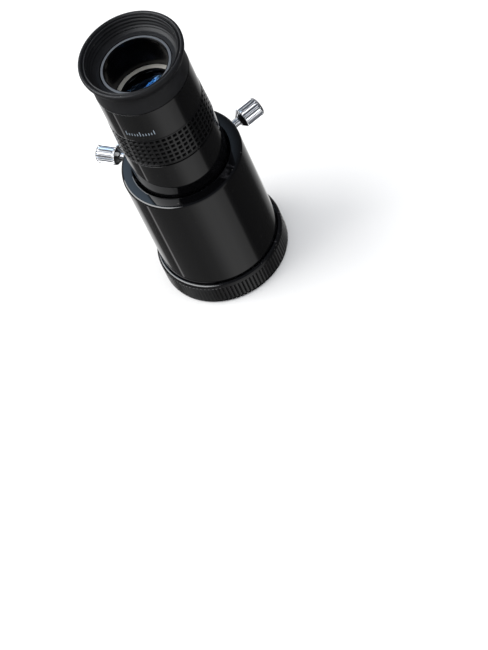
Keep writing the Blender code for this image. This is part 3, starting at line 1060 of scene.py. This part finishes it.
def add_card(tree, under, bearing, height, at, elevation, half_wide, half_tall, soft, color):
    """Lays one rectangular panel over the room, at a bearing and an elevation in degrees."""
    sideways = calc(tree, "ABSOLUTE", calc(tree, "WRAP", calc(tree, "SUBTRACT", bearing, at), 180.0, -180.0))
    upwards = calc(tree, "ABSOLUTE", calc(tree, "SUBTRACT", height, elevation))
    within = spread(tree, sideways, half_wide - soft, half_wide + soft, 1.0, 0.0, True)
    level = spread(tree, upwards, half_tall - soft, half_tall + soft, 1.0, 0.0, True)
    return mixed(tree, calc(tree, "MULTIPLY", within, level), under, color)


surround()


MIDDLE = Vector((0.0, 0.0, 0.06))


def soft_light(name, bearing, elevation, distance, size, energy, color):
    """An area light that looks at the middle of the object; bearings are the room's."""
    data = bpy.data.lights.new(name, "AREA")
    data.shape = "SQUARE"
    data.size = size
    data.energy = energy
    data.color = color
    light = bpy.data.objects.new(name, data)
    bpy.context.scene.collection.objects.link(light)
    azimuth = math.radians(bearing + VIEW_AZIMUTH + 90.0)
    rise = math.radians(elevation)
    away = Vector((math.cos(azimuth) * math.cos(rise), math.sin(azimuth) * math.cos(rise), math.sin(rise)))
    light.location = MIDDLE + away * distance
    light.rotation_euler = away.to_track_quat("Z", "Y").to_euler()
    light.visible_camera = False
    return light


key = soft_light("key_light", 75.0, 58.0, 1.1, 0.7, 9.0, (1.0, 0.99, 0.97))
fill = soft_light("fill_light", -110.0, 50.0, 1.3, 0.9, 3.5, (0.96, 0.98, 1.0))
for lamp in (key, fill):
    lamp.visible_glossy = False


def linked_panel(name, bearing, elevation, wide, tall, brightness, color, receivers):
    """A lit rectangle a metre away that reaches only the given pieces. Brightness is that of its face."""
    light = soft_light(name, bearing, elevation, 1.0, wide, 1.0, color)
    light.data.shape = "RECTANGLE"
    light.data.size_y = tall
    light.data.energy = brightness * math.pi * wide * tall
    reached = bpy.data.collections.new(name + "_receivers")
    for piece in receivers:
        reached.objects.link(piece)
    light.light_linking.receiver_collection = reached
    return light


# The tall window at the left draws the bright lines on the black pieces. The blue one shows deep in
# the eye lens. The chrome has two white panels of its own.
black_pieces = [holder_tube, coupling_ring, barrel, housing, grip, eyecup]
window = linked_panel("window", 86.0, 40.0, 1.8, 0.69, 7.3, (0.97, 0.985, 1.0), black_pieces)
window.visible_diffuse = False
window.visible_transmission = False
lens_window = linked_panel("lens_window", 22.0, 62.0, 0.62, 0.8, 12.0, (0.32, 0.62, 1.0), eye_doublet)
lens_window.visible_diffuse = False
WHITE = (1.0, 1.0, 1.0)
linked_panel("upper_panel", 165.0, 80.0, 0.8, 0.5, 2.4, WHITE, screw_pieces)
linked_panel("front_panel", -165.0, 5.0, 0.9, 0.4, 2.0, WHITE, screw_pieces)

view_az = math.radians(VIEW_AZIMUTH)
view_el = math.radians(VIEW_ELEVATION)
backwards = Vector((math.sin(view_az) * math.cos(view_el), -math.cos(view_az) * math.cos(view_el),
                    math.sin(view_el)))
aim = Vector((0.01054, -0.07092, 0.05037))
camera_data = bpy.data.cameras.new("view")
camera_data.sensor_width = SENSOR
camera_data.lens = FOCAL
camera = bpy.data.objects.new("view", camera_data)
bpy.context.scene.collection.objects.link(camera)
camera.location = aim + backwards * VIEW_DISTANCE
upright = backwards.to_track_quat("Z", "Y").to_matrix().to_4x4()
camera.rotation_euler = (upright @ Matrix.Rotation(-math.radians(VIEW_ROLL), 4, "Z")).to_euler()
bpy.context.scene.camera = camera
bpy.context.scene.view_settings.view_transform = "Standard"
